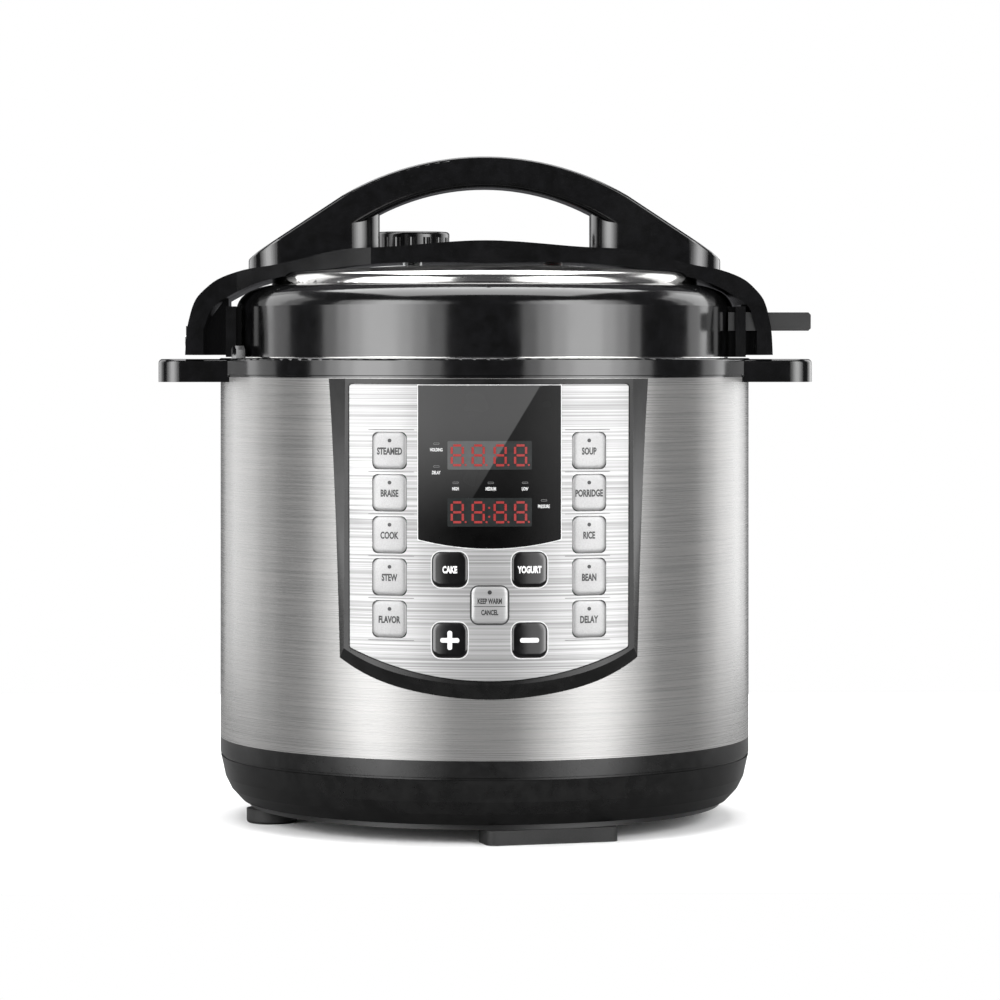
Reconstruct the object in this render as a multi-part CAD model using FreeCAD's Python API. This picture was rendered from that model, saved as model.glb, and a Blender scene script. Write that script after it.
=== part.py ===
import FreeCAD, Part
import math
import os

V = FreeCAD.Vector

# Electric pressure cooker. Millimetres, +Z up, the floor at z = 0, the control panel towards -Y.

# Overall sizes
body_radius = 133.0
shell_height = 180.0
foot_height = 7.0
fit_gap = 0.3
turn_gap = 0.4
slide_gap = 0.15

# Base
plate_radius = body_radius - 14.5
plate_thickness = 2.8
base_floor = foot_height + plate_thickness
base_height = 31.3
base_top = base_floor + base_height
base_wall = 2.8
base_floor_opening = body_radius - 28.0
spigot_height = 5.0
foot_circle = body_radius - 23.0
foot_radius = 12.5
foot_start_angle = 15.0
front_foot_size = (65.0, 20.0)
standoff_height = 7.0
standoff_radius = 3.0

# Outer shell and top ring
shell_thickness = 0.8
shell_top = base_top + shell_height
ring_height = 9.4
ring_top = shell_top + ring_height
ring_radius = body_radius + 0.8
ring_skirt = 7.6
gutter_radius = body_radius - 8.8
gutter_floor = shell_top - 4.6
seat_radius = body_radius - 15.8
drain_width = 8.0
drain_reach = body_radius + 6.0

# Side handles
side_reach = body_radius + 29.5
side_half_width = 40.0
side_top = ring_top - 0.5
side_height = 11.4
side_corner = 12.0
side_wall = 3.0
ear_reach = body_radius + 15.0
ear_half_width = 26.0
ear_height = 5.0
ear_hole_radius = 2.0
ear_hole_spread = 14.0

# Locking bowl, its lugs and the lid teeth
bowl_radius = body_radius - 17.5
bowl_wall = 2.0
bowl_floor = base_top + 8.9
flange_bottom = ring_top - 6.5
flange_thickness = 3.0
flange_top = flange_bottom + flange_thickness
lug_count = 6
lug_radius = body_radius - 12.4
lug_angle = 26.0
tooth_angle = 23.0
tooth_thickness = 3.8
tooth_gap = 0.4

# Inner pot
pot_radius = body_radius - 21.5
pot_wall = 1.6
pot_floor_thickness = 2.5
pot_rim_radius = body_radius - 16.0
pot_corner = 14.0
pot_rim_bottom = flange_top + 0.3
pot_rim_top = pot_rim_bottom + pot_wall

# Heater and sensor
heater_radius = pot_radius - 23.5
heater_thickness = 9.0
heater_boss_height = 6.0
heater_bottom = bowl_floor + bowl_wall + heater_boss_height
pot_bottom = heater_bottom + heater_thickness
heater_hole = 17.0
sensor_radius = 15.5
sensor_cap_height = 6.0
sensor_stem_radius = 5.0
sensor_travel = 2.0
bracket_radius = 24.0
bracket_height = 9.0

# Lid
rim_outer = body_radius - 10.4
rim_wall = 1.6
rim_inner = rim_outer - rim_wall
seal_height = 7.1
shelf_bottom = pot_rim_top + seal_height + 0.3
dome_radius = body_radius - 25.8
dome_shoulder = ring_top + 36.0
dome_top = ring_top + 46.9
skirt_radius = body_radius - 8.0
skirt_wall = 2.0
skirt_bottom = ring_top + 0.5
skirt_straight_top = ring_top + 25.5
pad_face = body_radius - 4.6
pad_inner = body_radius - 9.6
pad_half_width = 42.0
pad_top = ring_top + 25.5
arm_bottom = ring_top + 1.5
left_arm_reach = 15.5
right_arm_share = 0.88
arm_screw_z = ring_top + 9.0
arm_screw_radius = 1.6
arm_screw_depth = 4.8
arm_start = 40.0
arm_web_half = 14.0
bridge_half_width = 32.0
handle_half_depth = 18.0
grip_edge = 4.0
leg_edge = 16.0
end_round = 17.0
crest_edge = 1.5
handle_top = ring_top + 100.9

# Lid fittings
knob_place = (-36.5, 57.0)
knob_radius = 19.2
knob_bottom = ring_top + 52.0
knob_height = 13.4
knob_ribs = 16
stem_radius = 5.0
stem_shoulder = 8.0
float_place = (36.5, 57.0)
float_radius = 3.1
float_travel = 4.0
bar_y = (-40.5, -36.3)
bar_z = (ring_top + 13.5, ring_top + 22.6)
bar_x = (body_radius - 13.1, body_radius + 27.8)
bar_travel = 3.0

# Control panel
panel_top = shell_top - 0.4
bezel_thickness = 4.6
overlay_recess = 0.4
overlay_thickness = 1.0
overlay_outer = body_radius + bezel_thickness - overlay_recess
overlay_inner = overlay_outer - overlay_thickness
key_proud = 0.8
key_travel = 0.8
key_flange = 1.0
side_key_x = 47.0
side_key_size = (16.0, 17.3)
side_key_rows = [33.8, 53.6, 73.4, 93.2, 113.0]
black_key_x = 18.7
black_key_size = (16.4, 16.4)
black_key_rows = [89.4, 122.5]
centre_key_size = (17.1, 17.3)
centre_key_row = 106.0
display_half_width = 19.8
display_rows = [(29.0, 42.5), (55.8, 69.3)]
board_front = body_radius - 10.8
board_thickness = 1.6
board_half_width = 50.0
board_post_x = 33.0
board_post_rows = (20.0, 122.0)
switch_size = 6.0
switch_gap = 0.1

# Back fittings
inlet_half_width = 15.5
inlet_z = (base_floor + 4.2, base_floor + 29.2)
inlet_pad_face = body_radius + 0.2
inlet_face = inlet_pad_face + 1.6
cup_half_width = 22.0
cup_back = body_radius + 0.6
cup_front = body_radius + 9.2
cup_bottom = shell_top - 71.0
cup_top = shell_top - 12.8
cup_wall = 1.6


def block(x0, x1, y0, y1, z0, z1):
    return Part.makeBox(x1 - x0, y1 - y0, z1 - z0, V(x0, y0, z0))


def rod(radius, z0, z1, x=0.0, y=0.0):
    return Part.makeCylinder(radius, z1 - z0, V(x, y, z0))


def tube(inner, outer, z0, z1, x=0.0, y=0.0):
    return rod(outer, z0, z1, x, y).cut(rod(inner, z0, z1, x, y))


def joined(shapes):
    whole = shapes[0]
    if len(shapes) > 1:
        whole = whole.multiFuse(shapes[1:])
    return whole.removeSplitter()


def outline(start, steps, plane):
    """A closed wire. A step is an end point, or a pair (point on the way, end point) for an arc."""
    edges = []
    here = start
    for step in steps:
        if isinstance(step[0], tuple):
            edges.append(Part.Arc(plane(here), plane(step[0]), plane(step[1])).toShape())
            here = step[1]
        else:
            edges.append(Part.makeLine(plane(here), plane(step)))
            here = step
    if math.dist(here, start) > 1e-6:
        edges.append(Part.makeLine(plane(here), plane(start)))
    return Part.Wire(edges)


def crown(end, top):
    """The arc from end up to the axis at height top, centred on the axis, as (halfway point, top point)."""
    rise = top - end[1]
    radius = (end[0] ** 2 + rise ** 2) / (2 * rise)
    halfway = end[0] / 2
    return (halfway, top - radius + math.sqrt(radius ** 2 - halfway ** 2)), (0, top)


def turned(start, steps):
    """The solid that a profile of (radius, height) points sweeps round the Z axis."""
    wire = outline(start, steps, lambda p: V(p[0], 0, p[1]))
    return Part.Face(wire).revolve(V(0, 0, 0), V(0, 0, 1), 360)


def wedge(inner, outer, z0, z1, middle, width):
    """A piece of a ring, width degrees wide and centred on the middle angle."""
    sector = Part.makeCylinder(outer, z1 - z0, V(0, 0, z0), V(0, 0, 1), width)
    sector.rotate(V(0, 0, 0), V(0, 0, 1), middle - width / 2)
    return sector.cut(rod(inner, z0 - 1, z1 + 1))


def along_y(wire, y0, y1):
    """A wire drawn in the XZ plane, made solid from y0 to y1."""
    face = Part.Face(wire)
    face.translate(V(0, y0, 0))
    return face.extrude(V(0, y1 - y0, 0))


def edges_along(shape, axis):
    picked = []
    for edge in shape.Edges:
        if isinstance(edge.Curve, Part.Line) and abs(edge.tangentAt(edge.FirstParameter).dot(axis)) > 0.999:
            picked.append(edge)
    return picked


def rounded_block(x0, x1, y0, y1, z0, z1, axis, radius):
    solid = block(x0, x1, y0, y1, z0, z1)
    return solid.makeFillet(radius, edges_along(solid, axis))


def at_angle(shape, angle):
    turned_shape = shape.copy()
    turned_shape.rotate(V(0, 0, 0), V(0, 0, 1), angle)
    return turned_shape


def mirrored(shape):
    return shape.mirror(V(0, 0, 0), V(1, 0, 0))


nodes = {}

# The moulded base: a bowl with a groove round it and a spigot that centres the shell
base_profile = [
    (body_radius - 5.5, base_floor + 5.6),
    (body_radius - 2.5, base_floor + 11.6),
    (body_radius - 1.2, base_floor + 17.7),
    (body_radius - 0.2, base_floor + 21.9),
    (body_radius - 1.0, base_floor + 22.2),
    (body_radius - 1.0, base_floor + 23.1),
    (body_radius, base_floor + 23.4),
    (body_radius, base_top),
    (body_radius - shell_thickness - fit_gap, base_top),
    (body_radius - shell_thickness - fit_gap, base_top + spigot_height),
    (body_radius - base_wall, base_top + spigot_height),
    (body_radius - base_wall, base_floor + 23.4),
    (body_radius - 4.0, base_floor + 17.7),
    (body_radius - 5.4, base_floor + 11.6),
    (body_radius - 8.4, base_floor + 6.6),
    (body_radius - 12.6, base_floor + 2.6),
    (base_floor_opening, base_floor + 2.6),
    (base_floor_opening, base_floor),
]
base = turned((body_radius - 10.7, base_floor), base_profile)
inlet_pad = block(
    -inlet_half_width - 4, inlet_half_width + 4, body_radius - 9, inlet_pad_face,
    inlet_z[0] - 3, inlet_z[1] + 1.8,
)
inlet_hole = block(
    -inlet_half_width + 1.5, inlet_half_width - 1.5, body_radius - 30, body_radius + 5,
    inlet_z[0] + 1.5, inlet_z[1] - 1.5,
)
nodes["base_housing"] = joined([base, inlet_pad]).cut(inlet_hole)

# The bottom plate, with vent slots and the posts that carry the power board
board_x = 45.0
board_y = (25.0, 88.0)
bottom = rod(plate_radius, foot_height, base_floor)
for index in range(-4, 5):
    slot_x = index * 9.0
    bottom = bottom.cut(block(slot_x - 2, slot_x + 2, -60, -20, foot_height - 1, base_floor + 1))
posts = []
for post_x in (-board_x + 5, board_x - 5):
    for post_y in (board_y[0] + 5, board_y[1] - 5):
        posts.append(rod(standoff_radius, base_floor, base_floor + standoff_height, post_x, post_y))
nodes["bottom_plate"] = joined([bottom] + posts)

# Three round rubber feet and the wide block under the front
foot = rod(foot_radius, 0, foot_height, foot_circle, 0)
foot = foot.makeFillet(1.5, [e for e in foot.Edges if e.BoundBox.ZMax < 0.01])
nodes["round_feet"] = Part.makeCompound([at_angle(foot, foot_start_angle + 90 * step) for step in range(3)])
wide_foot = rounded_block(
    foot_circle - front_foot_size[1] / 2, foot_circle + front_foot_size[1] / 2,
    -front_foot_size[0] / 2, front_foot_size[0] / 2, 0, foot_height, V(0, 0, 1), 4.0,
)
nodes["front_foot"] = at_angle(wide_foot, foot_start_angle - 90)

# The top ring: gutter for the lid teeth, seat for the bowl flange, drain spout at the back
ring_inner_wall = seat_radius - 1.4
ring = turned(
    (seat_radius, flange_bottom),
    [
        (ring_inner_wall, flange_bottom),
        (ring_inner_wall, shell_top - ring_skirt),
        (body_radius - shell_thickness - fit_gap, shell_top - ring_skirt),
        (body_radius - shell_thickness - fit_gap, shell_top),
        (body_radius + 0.2, shell_top),
        (body_radius + 0.2, shell_top + 0.9),
        (ring_radius, shell_top + 1.2),
        (ring_radius, ring_top - 1.2),
        ((ring_radius - 0.35, ring_top - 0.35), (ring_radius - 1.2, ring_top)),
        (gutter_radius, ring_top),
        (gutter_radius, gutter_floor),
        (seat_radius, gutter_floor),
    ],
)
ring = ring.cut(tube(gutter_radius + 2.2, body_radius - 3.6, shell_top - ring_skirt, ring_top - 3.0))
spout = block(
    -drain_width / 2 - 2, drain_width / 2 + 2, gutter_radius + 1, drain_reach,
    gutter_floor - 2.0, gutter_floor + 4.0,
)
channel = block(
    -drain_width / 2, drain_width / 2, gutter_radius - 1, drain_reach + 1, gutter_floor, gutter_floor + 2.5,
)
ears = []
for side in (1, -1):
    ear = block(
        body_radius - 4, ear_reach, -ear_half_width, ear_half_width,
        side_top - side_wall - ear_height, side_top - side_wall,
    )
    ear = ear.cut(rod(body_radius - 1.2, shell_top - 20, ring_top))
    for spread in (-ear_hole_spread, ear_hole_spread):
        ear = ear.cut(rod(ear_hole_radius, shell_top, ring_top, ear_reach - 6, spread))
    ears.append(ear if side == 1 else mirrored(ear))
ring_parts = [ring, spout] + ears

# A lug that stands on the ring in front of the left arm
lug_block = block(-3.8, 3.8, body_radius - 4.4, body_radius + 0.2, ring_top - 1.0, ring_top + 6.0)
lug_block = lug_block.makeChamfer(2.0, [
    e for e in edges_along(lug_block, V(0, 1, 0)) if e.BoundBox.ZMin > ring_top + 5.9
])
ring_parts.append(at_angle(lug_block, 111.2))
nodes["top_ring"] = joined(ring_parts).cut(channel)

# The brushed shell, open behind the panel and round the spout
shell = tube(body_radius - shell_thickness, body_radius, base_top, shell_top)
shell = shell.cut(block(
    -board_half_width - 2, board_half_width + 2, -body_radius - 5, 0, panel_top - 130, panel_top - 9,
))
nodes["outer_shell"] = shell.cut(block(
    -drain_width / 2 - 2.2, drain_width / 2 + 2.2, 0, body_radius + 5, gutter_floor - 2.2, gutter_floor + 4.2,
))

# Side handles: hollow grips that slip over the ears of the ring
grip = rounded_block(
    body_radius - 20, side_reach, -side_half_width, side_half_width,
    side_top - side_height, side_top, V(0, 0, 1), side_corner,
)
hollow = block(
    body_radius - 25, side_reach - side_wall - 2, -side_half_width + side_wall, side_half_width - side_wall,
    side_top - side_height - 1, side_top - side_wall,
)
grip = grip.makeFillet(2.0, [
    e for e in grip.Edges if e.BoundBox.ZMin > side_top - 0.01 and e.BoundBox.XMax > body_radius - 19
])
grip = grip.cut(hollow)
grip = grip.cut(rod(ring_radius, shell_top, ring_top + 2)).cut(rod(body_radius, shell_top - 20, shell_top))
grip = grip.cut(rod(body_radius + 0.2, shell_top - 0.1, shell_top + 1.3))
nodes["side_handle_right"] = grip
nodes["side_handle_left"] = mirrored(grip)
ear_screws = []
for side in (1, -1):
    for spread in (-ear_hole_spread, ear_hole_spread):
        x = side * (ear_reach - 6)
        under = side_top - side_wall - ear_height
        screw = rod(3.2, under - 2.0, under, x, spread).fuse(rod(1.7, under - 1, side_top - side_wall, x, spread))
        ear_screws.append(screw.removeSplitter())
nodes["side_handle_screws"] = Part.makeCompound(ear_screws)

# The locking bowl: a deep steel bowl whose flange carries the lugs
bowl_inner = bowl_radius - bowl_wall
bowl = turned(
    (0, bowl_floor),
    [
        (bowl_radius - 8, bowl_floor),
        ((bowl_radius - 2.34, bowl_floor + 2.34), (bowl_radius, bowl_floor + 8)),
        (bowl_radius, flange_bottom),
        (seat_radius, flange_bottom),
        (seat_radius, flange_top),
        (bowl_inner, flange_top),
        (bowl_inner, bowl_floor + 8),
        ((bowl_inner - 1.76, bowl_floor + 3.76), (bowl_inner - 6, bowl_floor + bowl_wall)),
        (0, bowl_floor + bowl_wall),
    ],
)
lugs = []
for index in range(lug_count):
    lugs.append(wedge(bowl_inner + 0.5, lug_radius, flange_bottom, flange_top, index * 360 / lug_count, lug_angle))
bowl = joined([bowl] + lugs).cut(rod(heater_hole + 3, bowl_floor - 1, bowl_floor + 3))
terminal_x = heater_radius - 20
for x in (-terminal_x, terminal_x):
    bowl = bowl.cut(rod(6, bowl_floor - 1, bowl_floor + 3, x, 0))
nodes["locking_bowl"] = bowl

# Felt wrapped round the bowl
nodes["insulation_wrap"] = tube(bowl_radius, bowl_radius + 1.8, bowl_floor + 12, gutter_floor - 8)

# Cast heating plate with three bosses and two terminals
plate = tube(heater_hole, heater_radius, heater_bottom, pot_bottom)
heater_parts = [plate]
for index in range(3):
    heater_parts.append(at_angle(
        rod(7, bowl_floor + bowl_wall, heater_bottom + 1, heater_radius - 12, 0), 90 + 120 * index,
    ))
for x in (-terminal_x, terminal_x):
    heater_parts.append(rod(2.5, bowl_floor - 4, heater_bottom + 1, x, 0))
nodes["heating_plate"] = joined(heater_parts)

# Sensor bracket, sensor and its spring
bracket_bottom = bowl_floor - bracket_height
bracket = tube(bracket_radius - 1.5, bracket_radius, bracket_bottom, bowl_floor)
bracket = bracket.fuse(tube(sensor_stem_radius + fit_gap, bracket_radius, bracket_bottom, bracket_bottom + 1.5))
nodes["sensor_bracket"] = bracket.removeSplitter()
sensor_top = pot_bottom - fit_gap
sensor_cap_bottom = sensor_top - sensor_cap_height
sensor = joined([
    rod(sensor_radius, sensor_cap_bottom, sensor_top),
    rod(sensor_stem_radius, bracket_bottom - 4, sensor_cap_bottom + 1),
])
nodes["temperature_sensor"] = sensor
spring_bottom = bracket_bottom + 1.5
spring_wire = 0.6
spring_radius = 9.0
spring_pitch = 3.4
spring_length = sensor_cap_bottom - spring_bottom - 2 * spring_wire
helix = Part.makeHelix(spring_pitch, spring_length, spring_radius)
helix.translate(V(0, 0, spring_bottom + spring_wire))
section = Part.Wire(Part.makeCircle(
    spring_wire, V(spring_radius, 0, spring_bottom + spring_wire), V(0, 1, 0),
))
nodes["sensor_spring"] = Part.Wire(helix).makePipeShell([section], True, True)

# Pressure switch and thermal fuse fixed under the bowl
switch_body = joined([
    block(-12, 12, 36, 56, bowl_floor - 9, bowl_floor),
    rod(4, bowl_floor - 12, bowl_floor - 8, 0, 46),
])
nodes["pressure_switch"] = switch_body
nodes["thermal_fuse"] = rounded_block(-14, 14, -50, -42, bowl_floor - 6, bowl_floor, V(1, 0, 0), 1.5)

# Power board: transformer, relay and capacitors on a circuit board
board_bottom = base_floor + standoff_height
board_top = board_bottom + board_thickness
nodes["power_board"] = joined([
    block(-board_x, board_x, board_y[0], board_y[1], board_bottom, board_top),
    block(-30, -4, 36, 58, board_top, board_top + 15),
    block(8, 27, 34, 50, board_top, board_top + 14),
    rod(5, board_top, board_top + 14, 20, 64),
    rod(5, board_top, board_top + 14, 33, 64),
    block(-38, -24, 66, 76, board_top, board_top + 10),
])

# Inner pot with a rolled-out rim
pot_inner = pot_radius - pot_wall
inner_corner = pot_corner - pot_wall
deep = 1 - math.sqrt(0.5)
inner_pot = turned(
    (0, pot_bottom),
    [
        (pot_radius - pot_corner, pot_bottom),
        (
            (pot_radius - deep * pot_corner, pot_bottom + deep * pot_corner),
            (pot_radius, pot_bottom + pot_corner),
        ),
        (pot_radius, pot_rim_bottom),
        (pot_rim_radius, pot_rim_bottom),
        (pot_rim_radius, pot_rim_top),
        (pot_inner + 1, pot_rim_top),
        ((pot_inner + 0.29, pot_rim_top - 0.29), (pot_inner, pot_rim_top - 1)),
        (pot_inner, pot_bottom + pot_floor_thickness + inner_corner),
        (
            (
                pot_inner - deep * inner_corner,
                pot_bottom + pot_floor_thickness + deep * inner_corner,
            ),
            (pot_inner - inner_corner, pot_bottom + pot_floor_thickness),
        ),
        (0, pot_bottom + pot_floor_thickness),
    ],
)
nodes["inner_pot"] = inner_pot

# Silicone sealing ring with an inward groove
seal_outer = rim_inner - 0.6
seal_inner = pot_inner + 2.1
seal_top = pot_rim_top + seal_height
seal = tube(seal_inner, seal_outer, pot_rim_top, seal_top)
nodes["sealing_ring"] = seal.cut(tube(seal_inner - 1, seal_inner + 5, pot_rim_top + 2, seal_top - 2))

# Pressure lid: rim with teeth, flat shelf over the seal, raised dome
shelf_top = shelf_bottom + rim_wall
tooth_top = flange_bottom - tooth_gap
tooth_bottom = tooth_top - tooth_thickness
dome_inner = dome_radius - rim_wall
dome_edge = (dome_radius - 5.2, dome_shoulder + 6.3)
dome_edge_inner = (dome_radius - 5.8, dome_shoulder + 4.7)
dome = turned(
    (rim_outer, tooth_bottom),
    [
        (rim_outer, shelf_top),
        (dome_radius, shelf_top),
        (dome_radius, dome_shoulder),
        ((dome_radius - 1.3, dome_shoulder + 4.3), dome_edge),
        crown(dome_edge, dome_top),
        (0, dome_top - rim_wall),
        (crown(dome_edge_inner, dome_top - rim_wall)[0], dome_edge_inner),
        ((dome_inner - 0.9, dome_shoulder + 3.1), (dome_inner, dome_shoulder)),
        (dome_inner, shelf_bottom),
        (rim_inner, shelf_bottom),
        (rim_inner, tooth_bottom),
    ],
)
teeth = []
for index in range(lug_count):
    teeth.append(wedge(
        seat_radius + turn_gap, rim_inner + 0.5, tooth_bottom, tooth_top, index * 360 / lug_count, tooth_angle,
    ))
dome = joined([dome] + teeth)
dome = dome.cut(rod(stem_radius + fit_gap, dome_shoulder, dome_top + 5, *knob_place))
dome = dome.cut(rod(stem_radius + fit_gap, dome_shoulder, dome_top + 5, *float_place))
nodes["lid_dome"] = dome

# Black skirt over the lid rim, with bosses down to the shelf and a pad each side for the arms
skirt = turned(
    (skirt_radius, skirt_bottom),
    [
        (skirt_radius, skirt_straight_top),
        ((skirt_radius - 2.8, skirt_straight_top + 5.2), (skirt_radius - 7.2, skirt_straight_top + 8.2)),
        ((dome_radius + 5.4, dome_shoulder - 0.4), (dome_radius + turn_gap, dome_shoulder + 0.6)),
        (dome_radius + turn_gap, dome_shoulder - 1.6),
        ((dome_radius + 5.0, dome_shoulder - 2.5), (skirt_radius - 8.2, skirt_straight_top + 6.3)),
        ((skirt_radius - 4.6, skirt_straight_top + 3.8), (skirt_radius - skirt_wall, skirt_straight_top - 0.8)),
        (skirt_radius - skirt_wall, skirt_bottom),
    ],
)
skirt_parts = [skirt]
for index in range(lug_count):
    skirt_parts.append(at_angle(
        rod(3.5, shelf_top, skirt_straight_top + 8.2, (dome_radius + rim_outer) / 2, 0),
        30 + index * 360 / lug_count,
    ))
for side in (1, -1):
    pad = joined([
        block(pad_inner, pad_face, -pad_half_width, pad_half_width, skirt_bottom, pad_top),
        block(pad_inner - 8, pad_inner + 1, -30, 30, skirt_bottom, skirt_straight_top),
    ])
    pad = pad.cut(rod(skirt_radius - skirt_wall, skirt_bottom - 1, pad_top + 1))
    skirt_parts.append(pad if side == 1 else mirrored(pad))
skirt = joined(skirt_parts)
skirt = skirt.cut(block(
    bar_x[0] - 1, bar_x[1], bar_y[0] - slide_gap, bar_y[1] + slide_gap, bar_z[0] - slide_gap, bar_z[1] + slide_gap,
).cut(rod(skirt_radius, bar_z[0] - 1, bar_z[1] + 1)))
for side in (-1, 1):
    skirt = skirt.cut(Part.makeCylinder(
        arm_screw_radius, arm_screw_depth + 1, V(side * (pad_face - arm_screw_depth), 0, arm_screw_z), V(side, 0, 0),
    ))
nodes["lid_skirt"] = skirt

# The bridge that runs over the lid and down both sides as arms
upper_line = [
    (80.0, 55.0), (63.0, 54.0), (40.0, 48.7), (25.0, 45.5), (15.0, 43.9), (8.0, 41.9), (-1.0, 37.9),
    (-6.0, 33.8), (-9.7, 29.8), (-11.7, 25.8), (-13.0, 21.5), (-14.7, 13.5), (-left_arm_reach, 1.5),
]
lower_line = [(63.0, 45.3), (40.0, 41.5), (25.0, 38.6), (15.0, 35.2), (5.0, 30.0), (-1.5, 25.6), (-6.5, 14.0)]
arm_inner = body_radius + 6.5


def arm_x(inset, share):
    """Distance from the middle of a point set in from the body radius; share squeezes the arm's reach."""
    reach = body_radius - inset
    start = body_radius - arm_start
    if reach > start:
        reach = start + (reach - start) * share
    return reach


def side_curve(line, side, share, height_at_middle):
    points = [V(0, 0, ring_top + height_at_middle)]
    for inset, height in line:
        points.append(V(side * arm_x(inset, share), 0, ring_top + height))
    curve = Part.BSplineCurve()
    tangent_start = V(side, 0, 0)
    tangent_end = points[-1] - points[-2]
    curve.interpolate(Points=points, InitialTangent=tangent_start * 100, FinalTangent=tangent_end)
    return curve.toShape()


def bridge_half(side, share):
    upper = side_curve(upper_line, side, share, 58.5)
    lower = side_curve(lower_line, side, share, 47.5)
    foot_x = side * arm_x(body_radius - arm_inner, share)
    upper_end = upper.Vertexes[-1].Point
    lower_end = lower.Vertexes[-1].Point
    corner = V(foot_x, 0, arm_bottom)
    edges = [
        upper,
        Part.makeLine(upper_end, corner),
        Part.makeLine(corner, lower_end),
        lower,
        Part.makeLine(lower.Vertexes[0].Point, upper.Vertexes[0].Point),
    ]
    return along_y(Part.Wire(Part.__sortEdges__(edges)), -pad_half_width, pad_half_width)


def arm_web(side, share):
    """The solid middle of an arm, between the pad on the skirt and the arm's outer wall."""
    inner = pad_face
    wall = arm_x(body_radius - arm_inner, share) + 1
    wire = outline(
        (side * inner, arm_bottom),
        [
            (side * wall, arm_bottom),
            (side * wall, ring_top + 16),
            (side * (inner + 3), ring_top + 28),
            (side * inner, ring_top + 30),
        ],
        lambda p: V(p[0], 0, p[1]),
    )
    return along_y(wire, -arm_web_half, arm_web_half)


plan_x = body_radius - 76
plan_wide = body_radius - 10
plan_end = body_radius + 30
plan = outline(
    (-plan_end, -pad_half_width),
    [
        (-plan_wide, -pad_half_width),
        (-plan_x, -bridge_half_width),
        (plan_x, -bridge_half_width),
        (plan_wide, -pad_half_width),
        (plan_end, -pad_half_width),
        (plan_end, pad_half_width),
        (plan_wide, pad_half_width),
        (plan_x, bridge_half_width),
        (-plan_x, bridge_half_width),
        (-plan_wide, pad_half_width),
        (-plan_end, pad_half_width),
    ],
    lambda p: V(p[0], p[1], 0),
)
plan_solid = Part.Face(plan).extrude(V(0, 0, ring_top + 100))
bridge = joined([bridge_half(-1, 1.0), bridge_half(1, right_arm_share)]).common(plan_solid)
clear_edge = (dome_radius - 5.0, dome_shoulder + 6.7)
clear_of_lid = turned(
    (0, ring_top),
    [
        (skirt_radius + fit_gap, ring_top),
        (skirt_radius + fit_gap, skirt_straight_top),
        ((skirt_radius - 2.5, skirt_straight_top + 5.5), (skirt_radius - 7.0, skirt_straight_top + 8.6)),
        ((dome_radius + 5.6, dome_shoulder), (dome_radius + turn_gap, dome_shoulder + 1.0)),
        ((dome_radius - 1.0, dome_shoulder + 4.7), clear_edge),
        crown(clear_edge, dome_top + 0.4),
    ],
)
bridge = joined([bridge, arm_web(-1, 1.0), arm_web(1, right_arm_share)]).cut(clear_of_lid)
bridge = bridge.cut(block(
    pad_face - 1, bar_x[1], bar_y[0] - slide_gap, bar_y[1] + slide_gap, bar_z[0] - slide_gap, bar_z[1] + slide_gap,
))
for x in (-body_radius - 20, pad_face - 1):
    bridge = bridge.cut(Part.makeCylinder(1.9, 25, V(x, 0, arm_screw_z), V(1, 0, 0)))
nodes["lid_bridge"] = bridge

# The arched carrying handle
arc_end = body_radius - 61.6
grip_wire = outline(
    (-body_radius + 14.0, ring_top + 30),
    [
        (-body_radius + 14.0, ring_top + 49.5),
        (-body_radius + 19.3, ring_top + 53.5),
        (-arc_end, handle_top - 19.5),
        ((0, handle_top), (arc_end, handle_top - 19.5)),
        (body_radius - 19.3, ring_top + 53.5),
        (body_radius - 14.0, ring_top + 49.5),
        (body_radius - 14.0, ring_top + 30),
    ],
    lambda p: V(p[0], 0, p[1]),
)
leg_x = body_radius - 80
opening_wire = outline(
    (-leg_x, ring_top + 20),
    [
        (-leg_x, ring_top + 72.5),
        ((0, ring_top + 85.5), (leg_x, ring_top + 72.5)),
        (leg_x, ring_top + 20),
    ],
    lambda p: V(p[0], 0, p[1]),
)
handle = along_y(grip_wire, -handle_half_depth, handle_half_depth)
handle = handle.makeFillet(end_round, [
    e for e in edges_along(handle, V(0, 0, 1))
])
handle = handle.cut(along_y(opening_wire, -handle_half_depth - 1, handle_half_depth + 1))
handle = handle.makeFillet(leg_edge, [
    e for e in edges_along(handle, V(0, 0, 1)) if abs(abs(e.CenterOfMass.x) - leg_x) < 0.1
])


def side_face_edges(shape, test):
    """The long edges of the handle's front and back faces whose bounding box passes the test."""
    return [
        e for e in shape.Edges
        if e.BoundBox.YLength < 0.1 and abs(abs(e.CenterOfMass.y) - handle_half_depth) < 0.1 and test(e.BoundBox)
    ]


handle = handle.makeFillet(grip_edge, side_face_edges(
    handle, lambda b: max(b.XMax, -b.XMin) < leg_x + 0.1 and b.XLength > leg_x,
))
handle = handle.makeFillet(crest_edge, side_face_edges(
    handle, lambda b: b.ZMax > ring_top + 78 and b.XLength > 20 and max(b.XMax, -b.XMin) > leg_x + 17,
))
handle = handle.cut(bridge).cut(block(-200, 200, -100, 100, 0, ring_top + 38))
nodes["lid_handle"] = max(handle.Solids, key=lambda s: s.Volume)

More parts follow.
